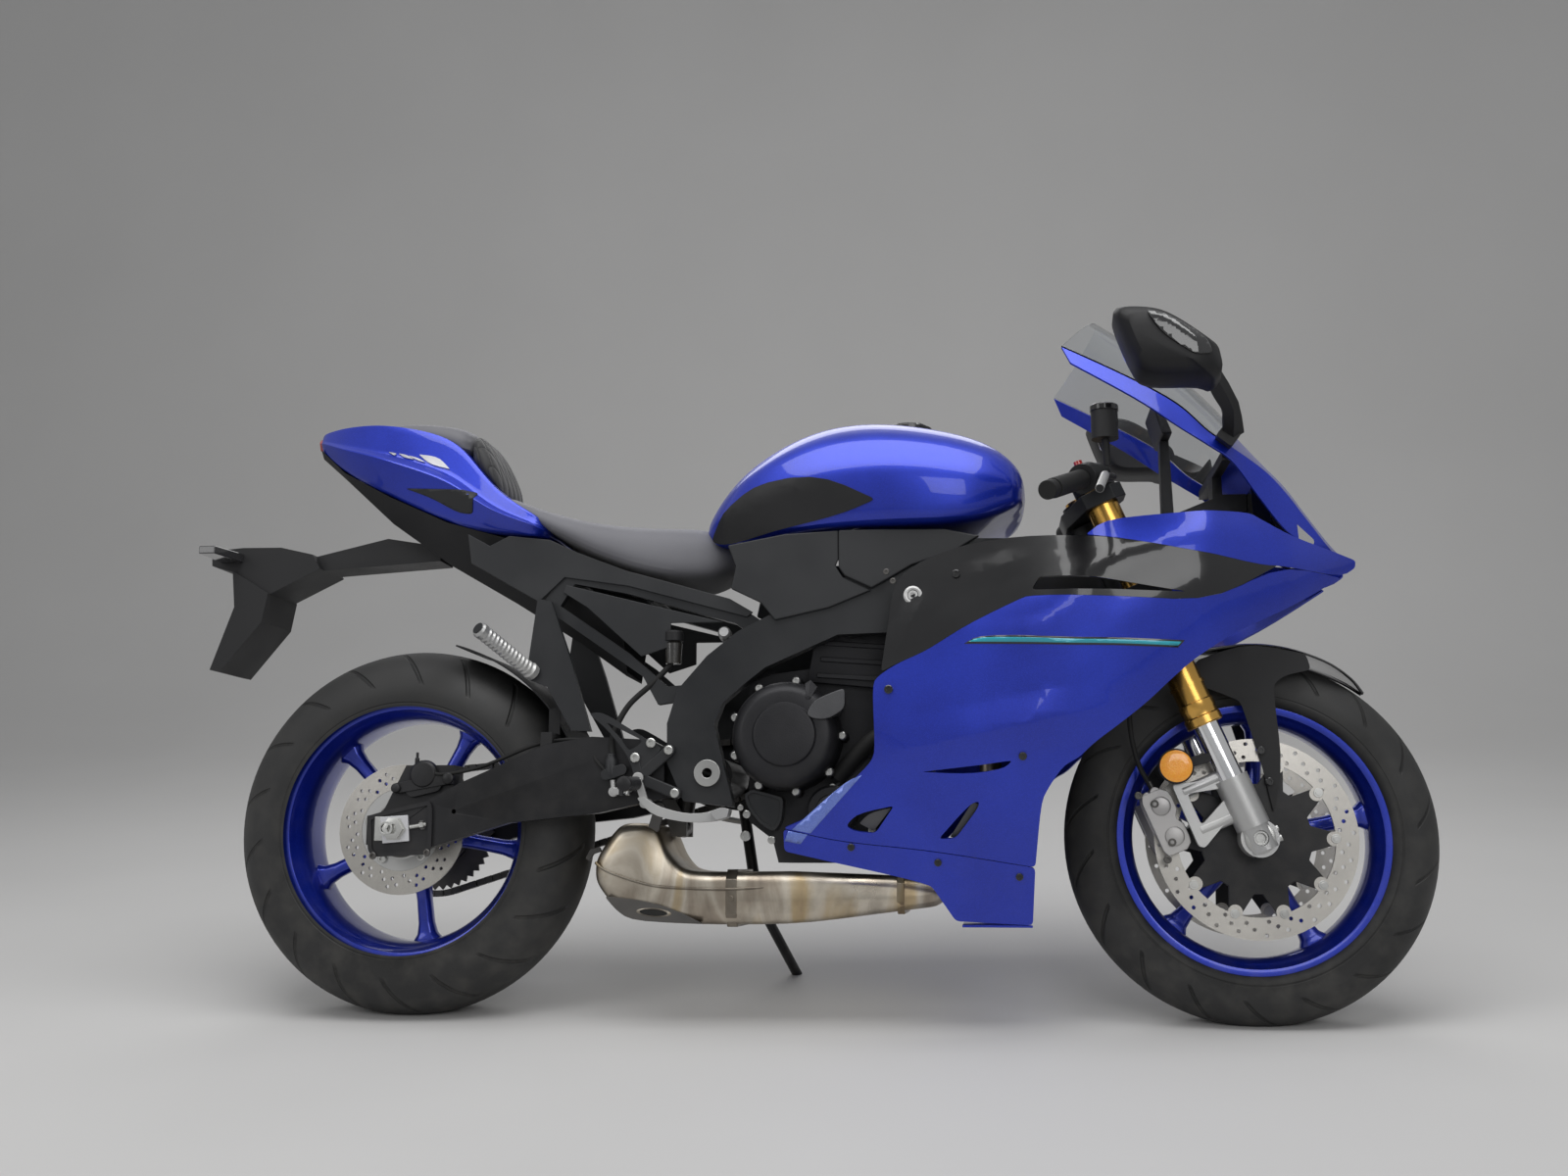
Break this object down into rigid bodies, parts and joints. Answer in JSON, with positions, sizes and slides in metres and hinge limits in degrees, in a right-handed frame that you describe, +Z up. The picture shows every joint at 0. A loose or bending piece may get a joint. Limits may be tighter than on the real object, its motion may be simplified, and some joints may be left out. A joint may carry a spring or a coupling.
{
  "type": "sport motorcycle",
  "caption": "Fully faired sport motorcycle parked on its side stand, with turning wheels, steering and a folding stand.",
  "frame": {"origin": "middle of the bounding box at the road, with the bike leaning 11 degrees to its left on the side stand", "axes": "+X forward along the bike, +Y to its left, +Z up from the road"},
  "size_m": [2.1089, 0.7831, 1.1731],
  "materials": {
    "blue_paint": "deep glossy metallic",
    "blue_rim": "glossy metallic",
    "black_gloss": "gloss",
    "blue_plastic": "deep glossy metallic",
    "black_matte": "matte",
    "frame_paint": "satin dark grey",
    "black_metal": "satin black",
    "engine_cast": "satin black coated casting",
    "gold_tube": "gold anodised",
    "chrome": "polished",
    "cast_silver": "satin cast",
    "disc_steel": "brushed",
    "steel": "satin",
    "exhaust_steel": "heat tinted",
    "tyre_rubber": "matte",
    "grip_rubber": "matte",
    "seat_cover": "matte grained",
    "clear_screen": "clear",
    "lamp_lens": "smoked lens",
    "amber_lens": "amber reflector",
    "red_lens": "dark red lens"
  },
  "bodies": {
    "chassis": {"chain": "steel", "main_frame": "frame_paint", "pivot_shaft": "steel", "subframe": "frame_paint", "engine_block": "engine_cast", "engine_covers": "engine_cast", "radiator": "black_metal", "exhaust_system": "exhaust_steel", "swingarm": "black_metal", "rear_axle": "steel", "rear_caliper": "black_metal", "shock_absorber": "black_metal", "fuel_tank": "blue_paint", "tank_side_covers": "black_matte", "air_duct_covers": "black_gloss", "rider_seat": "seat_cover", "passenger_seat": "seat_cover", "tail_cowl": "blue_plastic", "tail_undertray": "black_matte", "subframe_covers": "black_matte", "seat_side_panels": "black_matte", "plate_holder": "black_matte", "rear_indicators": "lamp_lens", "tail_lamp": "red_lens", "rear_hugger": "black_matte", "side_fairing_right": "blue_plastic", "side_fairing_left": "blue_plastic", "black_panels": "black_gloss", "belly_pan": "blue_plastic", "upper_cowl": "blue_plastic", "windscreen": "clear_screen", "fairing_stay": "black_metal", "headlamp": "lamp_lens", "instrument_panel": "black_gloss", "mirrors": "black_gloss", "rider_pegs": "cast_silver", "foot_pedals": "cast_silver", "passenger_pegs": "cast_silver", "stand_bracket": "black_metal"},
    "steering": {"triple_clamps": "black_metal", "fork_tubes": "gold_tube", "fork_stanchions": "chrome", "fork_bottoms": "cast_silver", "front_axle": "steel", "front_calipers": "cast_silver", "front_fender": "black_gloss", "clip_on_bars": "black_metal", "grips": "grip_rubber", "hand_controls": "black_metal", "reflectors": "amber_lens"},
    "front_wheel": {"front_tyre": "tyre_rubber", "front_rim": "blue_rim", "front_discs": "disc_steel"},
    "rear_wheel": {"rear_tyre": "tyre_rubber", "rear_rim": "blue_rim", "rear_disc": "disc_steel", "rear_sprocket": "steel"},
    "side_stand": {"side_stand": "black_metal"}
  },
  "joints": [
    {"name": "steering_turn", "type": "hinge", "parent": "chassis", "child": "steering", "pos_m": [0.72938, -0.13122, 0.28489], "axis": [-0.384, 0.1762, 0.9064], "range_deg": [-27, 27]},
    {"name": "front_wheel_spin", "type": "hinge", "parent": "steering", "child": "front_wheel", "pos_m": [0.7556, -0.12914, 0.29559], "axis": [0, 0.9816, -0.1908], "continuous": true},
    {"name": "rear_wheel_spin", "type": "hinge", "parent": "chassis", "child": "rear_wheel", "pos_m": [-0.6644, -0.12617, 0.31087], "axis": [0, 0.9816, -0.1908], "continuous": true},
    {"name": "side_stand_fold", "type": "hinge", "parent": "chassis", "child": "side_stand", "pos_m": [-0.0844, -0.03855, 0.18515], "axis": [0, 0.9135, 0.4067], "range_deg": [0, 100]}
  ]
}
